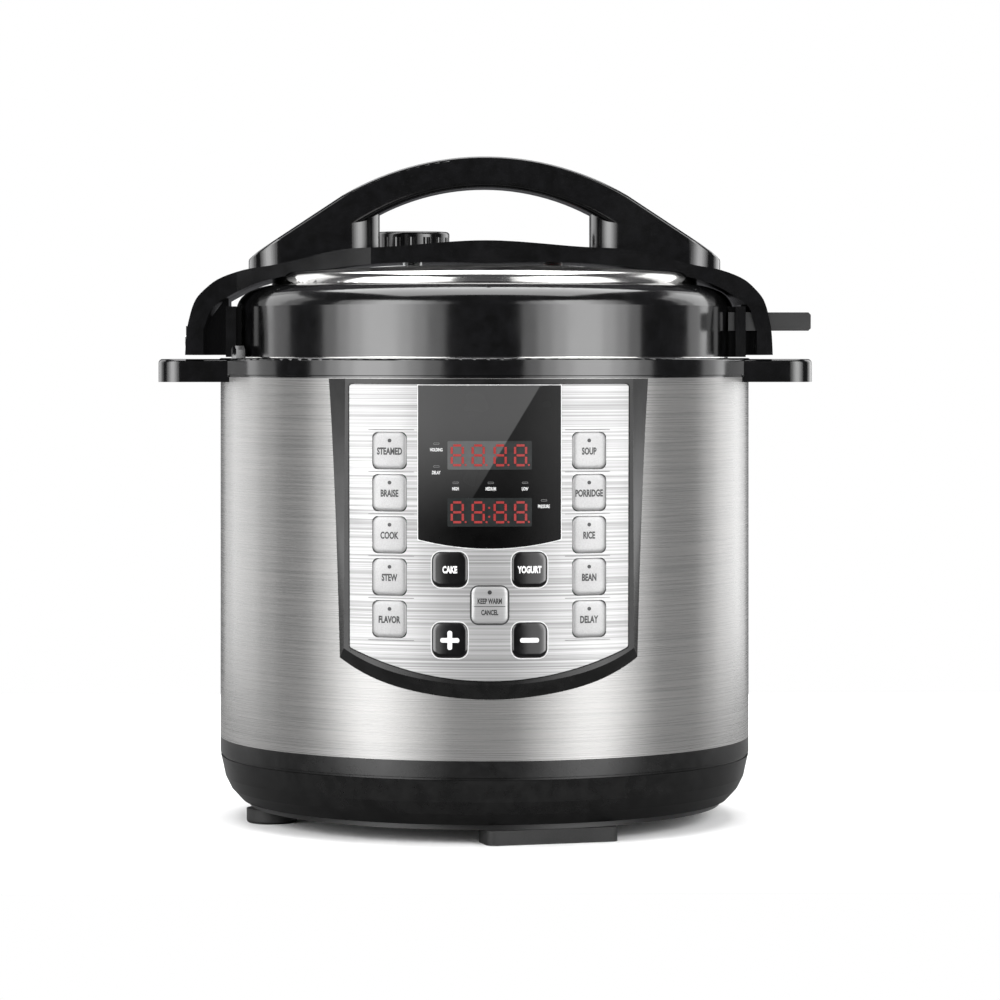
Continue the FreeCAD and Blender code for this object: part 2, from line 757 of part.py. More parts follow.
# Thin cover plates on the arms, each held by one screw
plate_z = (arm_bottom, ring_top + 16.0)
covers = []
cover_screws = []
for side, share in ((-1, 1.0), (1, right_arm_share)):
    outside = arm_x(-left_arm_reach, share)
    cover = block(outside - 3, outside + 1.2, -15, 15, plate_z[0], plate_z[1])
    hole = Part.makeCylinder(1.9, 12, V(outside - 6, 0, arm_screw_z), V(1, 0, 0))
    head = Part.makeCylinder(3.0, 1.2, V(outside + 1.2, 0, arm_screw_z), V(1, 0, 0))
    tip = pad_face - arm_screw_depth
    shank = Part.makeCylinder(arm_screw_radius, outside + 2 - tip, V(tip, 0, arm_screw_z), V(1, 0, 0))
    screw = joined([head, shank])
    cover = cover.cut(hole)
    if side < 0:
        cover = mirrored(cover)
        screw = mirrored(screw)
    cover = cover.cut(bridge)
    covers.append(max(cover.Solids, key=lambda s: s.Volume))
    cover_screws.append(screw)
nodes["arm_plates"] = Part.makeCompound(covers)
nodes["arm_screws"] = Part.makeCompound(cover_screws)

# Lock bar through the right arm
bar = block(bar_x[0], bar_x[1], bar_y[0], bar_y[1], bar_z[0], bar_z[1])
nodes["lid_lock_bar"] = bar.makeChamfer(1.2, [
    e for e in edges_along(bar, V(0, 1, 0)) if e.CenterOfMass.x > bar_x[1] - 0.1
])

# Ring that keeps the seal round
nodes["seal_retainer"] = tube(seal_inner - 2.2, seal_inner - 0.6, pot_rim_top + 2.6, shelf_bottom)

# Exhaust stem, its nut and shield under the dome, and the ribbed release knob
stem_top = knob_bottom + 5.0
dome_under = dome_top - rim_wall - 2.6
stem = joined([
    rod(stem_radius, dome_under - 14, stem_top, *knob_place),
    rod(stem_shoulder, knob_bottom - 2.4, knob_bottom, *knob_place),
])
stem = stem.cut(rod(2.0, dome_under - 15, stem_top + 1, *knob_place))
nodes["exhaust_stem"] = joined([stem, tube(stem_radius, 8.5, dome_under - 5, dome_under, *knob_place)])
shield = tube(12.5, 14.0, dome_under - 12, dome_under - 1, *knob_place)
shield = joined([shield, tube(stem_radius, 14.0, dome_under - 7, dome_under - 5, *knob_place)])
for angle in range(0, 180, 30):
    cutter = block(-20, 20, -1.2, 1.2, dome_under - 13, dome_under - 8)
    cutter.rotate(V(0, 0, 0), V(0, 0, 1), angle)
    cutter.translate(V(knob_place[0], knob_place[1], 0))
    shield = shield.cut(cutter)
nodes["anti_block_shield"] = shield
knob = rod(knob_radius, knob_bottom, knob_bottom + knob_height, *knob_place)
knob = knob.makeFillet(1.5, [e for e in knob.Edges if e.BoundBox.ZMin > knob_bottom + knob_height - 0.01])
for index in range(knob_ribs):
    angle = 2 * math.pi * index / knob_ribs
    knob = knob.cut(rod(
        2.2, knob_bottom - 1, knob_bottom + knob_height - 3,
        knob_place[0] + (knob_radius + 0.9) * math.cos(angle),
        knob_place[1] + (knob_radius + 0.9) * math.sin(angle),
    ))
knob = knob.cut(rod(stem_radius + fit_gap, knob_bottom - 1, stem_top + fit_gap, *knob_place))
nodes["steam_release_knob"] = knob.cut(tube(
    10, knob_radius - 3.5, knob_bottom - 1, knob_bottom + knob_height - 3, *knob_place,
))

# Float valve in its housing
float_seat = dome_top + 1.8
nodes["float_housing"] = joined([
    tube(float_radius + fit_gap, 8.0, dome_top + 0.2, float_seat, *float_place),
    tube(float_radius + fit_gap, stem_radius, dome_under - 4, float_seat, *float_place),
])
float_stop = dome_under - 4 - float_travel
nodes["float_valve"] = joined([
    rod(4.6, float_seat, float_seat + 2.4, *float_place),
    rod(float_radius, float_stop, float_seat + 1, *float_place),
    rod(4.6, float_stop - 2.0, float_stop, *float_place),
])


# Control panel, curved like the shell. Outlines are drawn as seen from the front.
def panel_wire(half_top, half_low, top, corner, lowest):
    return outline(
        (-half_top, top),
        [(half_top, top), (half_low, corner), ((0, lowest), (-half_low, corner))],
        lambda p: V(p[0], 0, p[1]),
    )


def curved(solid, inner, outer):
    """The part of a front-to-back solid that lies between two radii, on the front."""
    bent = solid.common(rod(outer, base_floor, ring_top))
    return bent.cut(rod(inner, base_floor - 1, ring_top + 1))


def panel_prism(half_top, half_low, top, corner, lowest, corner_radius):
    wire = panel_wire(half_top, half_low, panel_top - top, panel_top - corner, panel_top - lowest)
    prism = along_y(wire, -body_radius - 20, -60)
    return prism.makeFillet(corner_radius, edges_along(prism, V(0, 1, 0)))


def key_prism(x, row, size, corner_radius, wider, taller):
    z = panel_top - row
    half_x = size[0] / 2 + wider
    half_z = size[1] / 2 + taller
    return rounded_block(
        x - half_x, x + half_x, -body_radius - 20, -60, z - half_z, z + half_z, V(0, 1, 0), corner_radius + taller,
    )


keys = []
for row, below in enumerate(side_key_rows, 1):
    keys.append(("key_left_%d" % row, -side_key_x, below, side_key_size, 2.6))
    keys.append(("key_right_%d" % row, side_key_x, below, side_key_size, 2.6))
for name, below in (("key_upper", black_key_rows[0]), ("key_lower", black_key_rows[1])):
    keys.append((name + "_left", -black_key_x, below, black_key_size, 4.0))
    keys.append((name + "_right", black_key_x, below, black_key_size, 4.0))
keys.append(("key_cancel", 0.0, centre_key_row, centre_key_size, 3.0))

# The bezel's outer slope is wide at the top corners and at the foot, and steep at the two low corners
slope_back = body_radius - 27
slope_front = body_radius + 14


def slope_loft(back, front):
    wires = []
    for wire, y in ((back, slope_back), (front, slope_front)):
        wire.translate(V(0, -y, 0))
        wires.append(wire)
    return Part.makeLoft(wires, True, True)


bezel_sides = slope_loft(
    panel_wire(body_radius - 54.6, body_radius - 63.2, panel_top, panel_top - 200, panel_top - 200.5),
    panel_wire(body_radius - 85.8, body_radius - 66.0, panel_top, panel_top - 200, panel_top - 200.5),
)


def foot_wire(drop, rise):
    """A wide outline whose foot is a parabola that drops below the panel's top and rises again to each side."""
    curve = Part.BSplineCurve()
    curve.interpolate([V(x, 0, panel_top - drop + rise * (x / 70.0) ** 2) for x in (-90, -70, -35, 0, 35, 70, 90)])
    foot = curve.toShape()
    left, right = foot.Vertexes[0].Point, foot.Vertexes[-1].Point
    corners = [right, V(90, 0, panel_top), V(-90, 0, panel_top), left]
    sides = [Part.makeLine(p, q) for p, q in zip(corners, corners[1:])]
    return Part.Wire([foot] + sides)


bezel_foot = slope_loft(foot_wire(192.4, 51.3), foot_wire(129.1, 35.0))
bezel = curved(bezel_sides.common(bezel_foot), body_radius, body_radius + bezel_thickness)
bezel = bezel.cut(turned(
    (body_radius + bezel_thickness - 1.3, panel_top + 1),
    [
        (body_radius + bezel_thickness + 3, panel_top + 1),
        (body_radius + bezel_thickness + 3, panel_top - 1.3),
        (body_radius + bezel_thickness, panel_top - 1.3),
        (
            (body_radius + bezel_thickness - 0.38, panel_top - 0.38),
            (body_radius + bezel_thickness - 1.3, panel_top),
        ),
    ],
))
overlay_prism = panel_prism(66.1, 65.8, 2.5, 126.8, 141.6, 1.5)
recess_prism = panel_prism(66.5, 66.2, 2.1, 127.2, 142.1, 1.9)
bezel = bezel.cut(curved(recess_prism, overlay_inner, body_radius + 20))
overlay = curved(overlay_prism, overlay_inner, overlay_outer)
window_prism = panel_prism(33.6, 33.6, 2.5, 75.4, 79.6, 1.0)
window = overlay.common(window_prism)
overlay = overlay.cut(window_prism)
for name, x, below, size, corner_radius in keys:
    overlay = overlay.cut(key_prism(x, below, size, corner_radius, slide_gap, slide_gap))
    bezel = bezel.cut(key_prism(x, below, size, corner_radius, key_flange + fit_gap, fit_gap))
display_front = math.sqrt(overlay_inner ** 2 - display_half_width ** 2) - 0.3
for high, low in display_rows:
    bezel = bezel.cut(block(
        -display_half_width - 0.4, display_half_width + 0.4, -body_radius - 20, -60,
        panel_top - low - 0.4, panel_top - high + 0.4,
    ))
bosses = []
for x in (-board_post_x, board_post_x):
    for below in board_post_rows:
        boss = Part.makeCylinder(3, 30, V(x, -board_front, panel_top - below), V(0, -1, 0))
        bosses.append(boss.common(rod(body_radius + 1, base_floor, ring_top)))
nodes["panel_bezel"] = joined([bezel] + bosses)
nodes["panel_overlay"] = overlay
nodes["panel_window"] = window
nodes["control_board"] = block(
    -board_half_width, board_half_width, -board_front, -board_front + board_thickness,
    panel_top - 126, panel_top - 12,
)
nodes["displays"] = Part.makeCompound([
    block(-display_half_width, display_half_width, -display_front, -board_front, panel_top - low, panel_top - high)
    for high, low in display_rows
])

key_inner = body_radius + 1.2
switches = []
stem_end = board_front + 3.0
for name, x, below, size, corner_radius in keys:
    z = panel_top - below
    cap = curved(key_prism(x, below, size, corner_radius, 0, 0), key_inner, overlay_outer + key_proud)
    flange = curved(
        key_prism(x, below, size, corner_radius, key_flange, 0), key_inner, overlay_inner - fit_gap,
    )
    stem = block(x - 2, x + 2, -body_radius - 2, -stem_end, z - 2, z + 2)
    stem = stem.common(rod(key_inner + 0.5, base_floor, ring_top))
    nodes[name] = joined([cap, flange, stem])
    tip = stem_end - key_travel - switch_gap
    switches.append(joined([
        block(x - switch_size / 2, x + switch_size / 2, -board_front - 1.2, -board_front,
              z - switch_size / 2, z + switch_size / 2),
        block(x - 1.2, x + 1.2, -tip, -board_front - 1, z - 1.2, z + 1.2),
    ]))
nodes["key_switches"] = Part.makeCompound(switches)

# Appliance inlet at the back, with its three pins
inlet = joined([
    block(-inlet_half_width, inlet_half_width, inlet_pad_face, inlet_face, inlet_z[0], inlet_z[1]),
    block(-inlet_half_width + 1.8, inlet_half_width - 1.8, body_radius - 22, inlet_face,
          inlet_z[0] + 1.8, inlet_z[1] - 1.8),
])
recess = rounded_block(
    -12.1, 12.1, inlet_face - 17, inlet_face + 1, inlet_z[0] + 4.3, inlet_z[1] - 4.3, V(0, 1, 0), 2.0,
)
inlet = inlet.cut(recess)
pins = []
inlet_middle = (inlet_z[0] + inlet_z[1]) / 2
for x, z in ((-7.0, inlet_middle - 1.5), (0.0, inlet_middle + 1.5), (7.0, inlet_middle - 1.5)):
    hole = block(x - 1.0, x + 1.0, body_radius - 30, inlet_face - 10, z - 2.0, z + 2.0)
    inlet = inlet.cut(hole)
    pins.append(block(x - 1.0, x + 1.0, body_radius - 28, inlet_face - 2, z - 2.0, z + 2.0))
nodes["power_inlet"] = inlet
nodes["inlet_pins"] = Part.makeCompound(pins)

# Wires from the inlet to the power board and up to the heater terminals
def wire_run(points, radius):
    pieces = []
    for start, end in zip(points, points[1:]):
        span = end - start
        pieces.append(Part.makeCylinder(radius, span.Length, start, span))
    for point in points[1:-1]:
        pieces.append(Part.makeSphere(radius, point))
    return joined(pieces)


wires = []
for side in (-1, 1):
    wires.append(wire_run([
        V(side * 7.0, body_radius - 28, inlet_middle - 1.5),
        V(side * 7.0, body_radius - 32, inlet_middle - 1.5),
        V(side * 16.0, board_y[1] + 8, inlet_middle - 1.5),
        V(side * 16.0, board_y[1] - 5, board_top + 6),
        V(side * 16.0, board_y[1] - 5, board_top),
    ], 1.2))
    wires.append(wire_run([
        V(side * (board_x - 4), board_y[0] + 14, board_top),
        V(side * (board_x - 4), board_y[0] + 14, board_top + 12),
        V(side * terminal_x, 0, bowl_floor - 8),
        V(side * terminal_x, 0, bowl_floor - 4),
    ], 1.2))
nodes["wiring"] = Part.makeCompound(wires)

# Condensation cup on two rails at the back
rail_top = cup_top + 3.6
rails = block(-cup_half_width - 7, cup_half_width + 7, 100, cup_front - 1, cup_top - 5.4, rail_top)
rails = rails.cut(rod(body_radius, cup_bottom, ring_top))
rails = rails.cut(block(
    -cup_half_width - 0.4, cup_half_width + 0.4, cup_back - 0.2, cup_front + 5, cup_top - 9, rail_top + 1,
))
rails = rails.cut(block(
    -cup_half_width - 4, cup_half_width + 4, cup_back - 0.2, cup_front + 5, cup_top - 2.4, cup_top + 0.2,
))
nodes["cup_bracket"] = rails
cup = rounded_block(
    -cup_half_width, cup_half_width, cup_back, cup_front, cup_bottom, cup_top, V(0, 0, 1), 3.0,
)
cup = cup.cut(rounded_block(
    -cup_half_width + cup_wall, cup_half_width - cup_wall, cup_back + cup_wall, cup_front - cup_wall,
    cup_bottom + cup_wall, cup_top + 1, V(0, 0, 1), 1.4,
))
for side in (-1, 1):
    x0, x1 = sorted((side * (cup_half_width - 1), side * (cup_half_width + 3.7)))
    cup = cup.fuse(block(x0, x1, cup_back + 3, cup_front - 3, cup_top - 2.2, cup_top))
nodes["condensation_cup"] = cup.removeSplitter()

for name, shape in nodes.items():
    shape.exportStep("parts/" + name + ".step")
print(len(nodes), "nodes")
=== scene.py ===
import bmesh
import bpy
import math
from mathutils import Matrix, Vector


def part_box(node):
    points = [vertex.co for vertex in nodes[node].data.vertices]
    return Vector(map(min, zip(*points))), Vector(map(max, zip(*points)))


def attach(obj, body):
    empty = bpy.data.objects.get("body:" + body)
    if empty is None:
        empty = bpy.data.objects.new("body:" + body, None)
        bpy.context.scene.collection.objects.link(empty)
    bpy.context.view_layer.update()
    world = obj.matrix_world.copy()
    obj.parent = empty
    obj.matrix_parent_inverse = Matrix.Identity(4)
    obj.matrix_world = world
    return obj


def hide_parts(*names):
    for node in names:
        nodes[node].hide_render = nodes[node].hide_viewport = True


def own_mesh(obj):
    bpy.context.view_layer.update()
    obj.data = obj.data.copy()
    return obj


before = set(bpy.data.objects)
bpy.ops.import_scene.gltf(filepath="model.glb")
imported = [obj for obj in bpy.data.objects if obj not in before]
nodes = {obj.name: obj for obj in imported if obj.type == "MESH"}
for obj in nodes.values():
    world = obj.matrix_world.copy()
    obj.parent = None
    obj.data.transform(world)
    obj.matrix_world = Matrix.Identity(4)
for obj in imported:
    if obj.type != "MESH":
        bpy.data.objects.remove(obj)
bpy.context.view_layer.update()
mm = 0.001
print("frame loaded:", len(nodes), "nodes")


def linear(code):
    parts = [int(code[i:i + 2], 16) / 255 for i in (1, 3, 5)]
    return tuple(p / 12.92 if p <= 0.04045 else ((p + 0.055) / 1.055) ** 2.4 for p in parts) + (1.0,)


def addNode(tree, kind, settings=None, links=None):
    node = tree.nodes.new("ShaderNode" + kind)
    for key, value in (settings or {}).items():
        if isinstance(key, int) or key in node.inputs:
            node.inputs[key].default_value = value
        else:
            setattr(node, key, value)
    for key, source in (links or {}).items():
        tree.links.new(source, node.inputs[key])
    return node


def finish(name, shades, grain, rough, bump=0.0, smudge=22.0, contrast=(0.35, 0.65), roughGrain=False,
           **sockets):
    # shades: two hex colours mixed by the grain; grain: its size along x, y, z in mm
    # rough: lowest and highest roughness, over smudges of that size in mm, or over the grain with roughGrain
    # bump: grain height in mm
    made = bpy.data.materials.new(name)
    made.use_nodes = True
    tree = made.node_tree
    tree.nodes.clear()
    out = addNode(tree, "OutputMaterial")
    where = addNode(tree, "TexCoord").outputs["Object"]
    sized = addNode(tree, "Mapping", {"Scale": tuple(1000.0 / g for g in grain)}, {"Vector": where})
    pattern = addNode(tree, "TexNoise", {"Scale": 1.0, "Detail": 3.0, "Roughness": 0.6},
                      {"Vector": sized.outputs[0]})
    share = addNode(tree, "MapRange", {"From Min": contrast[0], "From Max": contrast[1]},
                    {"Value": pattern.outputs["Fac"]})
    colour = addNode(tree, "Mix", {"data_type": "RGBA", 6: linear(shades[0]), 7: linear(shades[1])},
                     {0: share.outputs[0]})
    patches = addNode(tree, "TexNoise", {"Scale": 1000.0 / smudge, "Detail": 2.0}, {"Vector": where})
    source = pattern if roughGrain else patches
    roughness = addNode(tree, "MapRange",
                        {"From Min": 0.3, "From Max": 0.7, "To Min": rough[0], "To Max": rough[1]},
                        {"Value": source.outputs["Fac"]})
    surface = addNode(tree, "BsdfPrincipled", sockets,
                      {"Base Color": colour.outputs[2], "Roughness": roughness.outputs[0]})
    if bump:
        relief = addNode(tree, "Bump", {"Strength": 1.0, "Distance": bump * mm},
                         {"Height": pattern.outputs["Fac"]})
        tree.links.new(relief.outputs[0], surface.inputs["Normal"])
    tree.links.new(surface.outputs[0], out.inputs["Surface"])
    return made


# injection moulded and mirror polished: deep black, wide soft reflections, faint smudges
glossAbs = finish("glossBlackAbs", ("#040404", "#0a0a0b"), (6, 6, 6), (0.10, 0.17), 0.002, **{"IOR": 1.53})
# moulded and lightly polished: black with a weaker, softer shine than the lid's
baseAbs = finish("mouldedBlackBase", ("#0f0f0f", "#171717"), (7, 7, 7), (0.2, 0.26), 0.002,
                 **{"IOR": 1.5, "Specular IOR Level": 0.2})
# moulded in a spark eroded tool: a dull black with a very fine grain, drawn at 0.5 mm
satinAbs = finish("satinBlackAbs", ("#0a0a0a", "#131313"), (0.5, 0.5, 0.5), (0.32, 0.42), 0.004,
                  **{"IOR": 1.53})
# belt brushed round the body: fine level lines, drawn at 0.4 mm so that they show, which smear highlights
# upright and scatter about half the light
shellSteel = finish("brushedStainlessSteel", ("#727271", "#807f7e"), (70, 70, 0.42), (0.25, 0.31), 0.0005,
                    roughGrain=True, **{"Metallic": 0.5, "Anisotropic": 0.6, "Anisotropic Rotation": 0.25})
tree = shellSteel.node_tree
around = addNode(tree, "Tangent", {"direction_type": "RADIAL", "axis": "Z"})
tree.links.new(around.outputs[0], tree.nodes["Principled BSDF"].inputs["Tangent"])
# buffed lid: near mirror with faint turning lines
domeSteel = finish("polishedStainlessSteel", ("#c4c3c1", "#d2d1cf"), (30, 30, 0.8), (0.10, 0.20), 0.0008,
                   **{"Metallic": 1.0})
# spun and satin finished: soft level lines
potSteel = finish("satinStainlessSteel", ("#b4b3b0", "#c8c7c4"), (25, 25, 0.7), (0.20, 0.34), 0.0014,
                  roughGrain=True, **{"Metallic": 1.0})
# pressure cast, then faced: pale grey with a pebbled skin
castAluminium = finish("castAluminium", ("#a9aaab", "#c0c1c2"), (1.6, 1.6, 1.6), (0.38, 0.55), 0.02,
                       **{"Metallic": 1.0})
# printed polyester film: silver ink in coarse level streaks
platePrint = finish("silverPlateFilm", ("#707070", "#9b9b9b"), (420, 420, 0.8), (0.36, 0.44), 0.0006,
                    contrast=(0.36, 0.6), **{"Metallic": 0.4, "Specular IOR Level": 0.5})
# sprayed metallic lacquer: fine flake, drawn at 0.5 mm, under a thin clear coat
keyLacquer = finish("silverKeyLacquer", ("#7c7c7c", "#868686"), (0.5, 0.5, 0.5), (0.34, 0.42), 0.002,
                    **{"Metallic": 0.3, "Coat Weight": 0.1, "Coat Roughness": 0.2})
# the middle key is the plate's own film, domed over its switch: flat silver with faint level streaks
keyFilm = finish("silverKeyFilm", ("#8d8d8d", "#979797"), (60, 60, 0.8), (0.34, 0.42), 0.0006,
                 **{"Metallic": 0.45, "Specular IOR Level": 0.5})
# moulded rubber: dull and slightly dusty
rubber = finish("blackRubber", ("#101010", "#191919"), (0.8, 0.8, 0.8), (0.62, 0.78), 0.02, **{"IOR": 1.5})
# moulded silicone: milky, light goes a little way in
silicone = finish("translucentSilicone", ("#c9cbc8", "#d8dad7"), (9, 9, 9), (0.38, 0.5), 0.004,
                  **{"Subsurface Weight": 0.25, "Subsurface Scale": 0.004, "IOR": 1.42})
# cast acrylic with an anti-glare skin; a painted reflection, added below, turns it grey towards its head
smokedFilm = finish("smokedAcrylic", ("#040404", "#070707"), (8, 8, 8), (0.2, 0.28), 0.0,
                    **{"IOR": 1.49, "Specular IOR Level": 0.06})
# translucent display filter: a grey haze, with a painted reflection added below
lensFace = finish("tintedLens", ("#1c1e1e", "#222424"), (3, 3, 3), (0.22, 0.3), 0.001,
                  **{"IOR": 1.49, "Specular IOR Level": 0.1})


# a painted reflection laid into the colour of the smoked window and the display lenses: a grey sheen towards
# their heads, weaker right of a slanting edge
reflectionPaint = {"slope": 0.605, "start": 107.8, "softness": 0.3,  # the slanting edge: x = slope * z - start, in mm
          "film": (146, 204, 0.042, 0.17), "lens": (166, 180, 0.055, 0.12)}  # low, high, head, rightShare


def addPaintedReflection(shinyFinish, low, high, head, rightShare):
    # adds a painted reflection: a grey that grows from the height low to high, and is weaker right of one
    # slanting edge
    tree = shinyFinish.node_tree
    place = addNode(tree, "SeparateXYZ", {}, {"Vector": tree.nodes["Texture Coordinate"].outputs["Object"]})
    fade = addNode(tree, "MapRange",
                   {"interpolation_type": "SMOOTHSTEP", "From Min": low * mm, "From Max": high * mm,
                    "To Min": 0.0, "To Max": head},
                   {"Value": place.outputs["Z"]})
    slant = addNode(tree, "Math", {"operation": "MULTIPLY_ADD", 1: -reflectionPaint["slope"], 2: reflectionPaint["start"] * mm},
                    {0: place.outputs["Z"]})
    across = addNode(tree, "Math", {"operation": "ADD"}, {0: place.outputs["X"], 1: slant.outputs[0]})
    leftOf = addNode(tree, "MapRange",
                     {"From Min": -reflectionPaint["softness"] * mm, "From Max": reflectionPaint["softness"] * mm,
                      "To Min": 1.0, "To Max": rightShare},
                     {"Value": across.outputs[0]})
    amount = addNode(tree, "Math", {"operation": "MULTIPLY"}, {0: fade.outputs[0], 1: leftOf.outputs[0]})
    colour = tree.nodes["Principled BSDF"].inputs["Base Color"]
    plain = colour.links[0].from_socket
    mixed = addNode(tree, "Mix", {"data_type": "RGBA", "blend_type": "ADD", 0: 1.0},
                    {6: plain, 7: amount.outputs[0]})
    tree.links.new(mixed.outputs[2], colour)


# the smoked window and the display lenses get the painted reflection
addPaintedReflection(smokedFilm, *reflectionPaint["film"])
addPaintedReflection(lensFace, *reflectionPaint["lens"])
# solder mask over glass weave: green with a low sheen
boardGreen = finish("epoxyGlassBoard", ("#0c3b22", "#145030"), (2.5, 2.5, 2.5), (0.30, 0.42), 0.006,
                    **{"IOR": 1.5})
# pressed fibre mat: pale, matt and fluffy
felt = finish("needledFelt", ("#a59f93", "#c2bcb0"), (1.2, 1.2, 1.2), (0.85, 0.95), 0.15,
              **{"Sheen Weight": 0.3})
# bright zinc over rolled steel
platedSteel = finish("zincPlatedSteel", ("#9d9f9f", "#b6b8b8"), (1.5, 1.5, 1.5), (0.24, 0.36), 0.003,
                     **{"Metallic": 1.0})
# turned contact pins, left in the plain yellow metal
brass = finish("turnedBrass", ("#b59a5a", "#cdb274"), (1.0, 1.0, 1.0), (0.2, 0.3), 0.002,
               **{"Metallic": 1.0})
# moulded with a light texture: lets light through, blurs what is behind it
cupPlastic = finish("frostedPolycarbonate", ("#c9cfd2", "#dbe0e2"), (1.0, 1.0, 1.0), (0.35, 0.45), 0.003,
                    **{"Transmission Weight": 0.75, "IOR": 1.58})
# turned, then dyed: red with a metal glint
floatRed = finish("redAnodisedAluminium", ("#a5141a", "#c01f24"), (0.6, 0.6, 0.6), (0.26, 0.36), 0.002,
                  **{"Metallic": 1.0})
# extruded vinyl: slightly soft sheen
wireSkin = finish("pvcWireInsulation", ("#a6231d", "#c5352b"), (4, 4, 4), (0.35, 0.5), 0.004,
                  **{"IOR": 1.53})
# screen printed: flat white, a little uneven
whiteInk = finish("whiteScreenInk", ("#bdbdbd", "#c8c8c8"), (0.6, 0.6, 0.6), (0.45, 0.6), 0.002)
# screen printed: flat charcoal
darkInk = finish("darkScreenInk", ("#161617", "#202021"), (0.6, 0.6, 0.6), (0.45, 0.6), 0.002)
# screen printed hairlines
greyInk = finish("greyScreenInk", ("#5c5c5c", "#666666"), (0.6, 0.6, 0.6), (0.45, 0.6), 0.002)
# light pipes over red diodes: one dim, even red glow
litRed = finish("litRedSegment", ("#6c0f0e", "#771311"), (1.2, 1.2, 1.2), (0.4, 0.5), 0.0,
                **{"Emission Color": linear("#ff2419"), "Emission Strength": 0.07})

slotFinish = {
    "shell_steel": shellSteel, "lid_steel": domeSteel, "pot_steel": potSteel, "cast_aluminium": castAluminium,
    "gloss_black": glossAbs, "matte_black": satinAbs, "black_rubber": rubber, "silicone": silicone,
    "silver_plate": platePrint, "silver_key": keyLacquer, "smoked_window": smokedFilm,
    "display_face": lensFace,
    "circuit_board": boardGreen, "felt": felt, "steel_plain": platedSteel, "brass_pins": brass,
    "frosted_cup": cupPlastic, "red_metal": floatRed, "wire_insulation": wireSkin,
}
for piece in nodes.values():
    wanted = piece.data.materials[0].name.split(".")[0]
    piece.data.materials.clear()
    piece.data.materials.append(slotFinish[wanted])
for name in ("base_housing", "panel_bezel"):
    nodes[name].data.materials[0] = baseAbs
print("materials made:", len(bpy.data.materials))


def cutAcross(mesh, x):
    # adds an upright row of edges at that x, in metres
    bmesh.ops.bisect_plane(mesh, geom=mesh.verts[:] + mesh.edges[:] + mesh.faces[:], plane_co=(x, 0, 0),
                           plane_no=(1, 0, 0), dist=1e-7)


def onFront(mesh, radius, strip=1.6):
    # cuts a flat shape that faces -Y into upright strips and lays it on the round front
    xs = [v.co.x for v in mesh.verts]
    step, x = strip * mm, min(xs)
    while x < max(xs):
        x += step
        cutAcross(mesh, x)
    for v in mesh.verts:
        v.co.y = -math.sqrt((radius * mm) ** 2 - v.co.x ** 2)


def thicken(mesh, depth):
    bmesh.ops.recalc_face_normals(mesh, faces=mesh.faces[:])
    for f in mesh.faces:
        f.normal_update()
        if f.normal.y > 0:
            f.normal_flip()
    bmesh.ops.solidify(mesh, geom=mesh.faces[:], thickness=depth * mm)


def sheetOf(width, height, x, z, corner=0.0):
    # a flat rectangle that faces -Y, with round corners when a corner radius is given; sizes in mm
    mesh = bmesh.new()
    bmesh.ops.create_grid(mesh, x_segments=1, y_segments=1, size=0.5,
                          matrix=Matrix.Rotation(math.pi / 2, 4, "X"))
    bmesh.ops.scale(mesh, vec=(width * mm, 1, height * mm), verts=mesh.verts[:])
    if corner:
        bmesh.ops.bevel(mesh, geom=mesh.verts[:], offset=corner * mm, segments=6, profile=0.5,
                        affect="VERTICES", material=-1)
    bmesh.ops.translate(mesh, vec=(x * mm, 0, z * mm), verts=mesh.verts[:])
    return mesh


def frameOnly(mesh, thick):
    # keeps a rim of that many mm round the outside
    inner = mesh.faces[:]
    bmesh.ops.inset_region(mesh, faces=inner, thickness=thick * mm, depth=0, use_boundary=True,
                           use_even_offset=True)
    bmesh.ops.delete(mesh, geom=inner, context="FACES")


def words(text, capHeight, x, z, squeeze=0.62, weight=0.0):
    curve = bpy.data.curves.new("words", "FONT")
    curve.body, curve.size, curve.resolution_u, curve.offset = text, 1.0, 3, weight
    curve.align_x, curve.align_y = "CENTER", "CENTER"
    holder = bpy.data.objects.new("words", curve)
    bpy.context.scene.collection.objects.link(holder)
    flat = bpy.data.meshes.new_from_object(holder)
    mesh = bmesh.new()
    mesh.from_mesh(flat)
    bpy.data.objects.remove(holder)
    bpy.data.curves.remove(curve)
    bpy.data.meshes.remove(flat)
    bmesh.ops.remove_doubles(mesh, verts=mesh.verts[:], dist=1e-5)
    ys = [v.co.y for v in mesh.verts]
    xs = [v.co.x for v in mesh.verts]
    size = capHeight * mm / (max(ys) - min(ys))
    midX, midY = (max(xs) + min(xs)) / 2, (max(ys) + min(ys)) / 2
    for v in mesh.verts:
        v.co = Vector((x * mm + (v.co.x - midX) * size * squeeze, 0, z * mm + (v.co.y - midY) * size))
    return mesh


def disc(radius, x, z, sides=20):
    mesh = bmesh.new()
    bmesh.ops.create_circle(mesh, cap_ends=True, segments=sides, radius=radius * mm,
                            matrix=Matrix.Translation((x * mm, 0, z * mm))
                            @ Matrix.Rotation(math.pi / 2, 4, "X"))
    return mesh


def merge(target, added, materialIndex=0):
    for f in added.faces:
        f.material_index = materialIndex
    held = bpy.data.meshes.new("held")
    added.to_mesh(held)
    target.from_mesh(held)
    bpy.data.meshes.remove(held)
    added.free()


def newPiece(name, mesh, finishes, body, smoothAngle=35, replaced=()):
    for f in mesh.faces:
        f.smooth = True
    for e in mesh.edges:
        e.smooth = len(e.link_faces) == 2 and e.calc_face_angle(0) < math.radians(smoothAngle)
    data = bpy.data.meshes.new(name)
    mesh.to_mesh(data)
    mesh.free()
    for f in finishes:
        data.materials.append(f)
    piece = bpy.data.objects.new(name, data)
    bpy.context.scene.collection.objects.link(piece)
    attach(piece, body)
    if replaced:
        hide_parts(*replaced)
    return piece


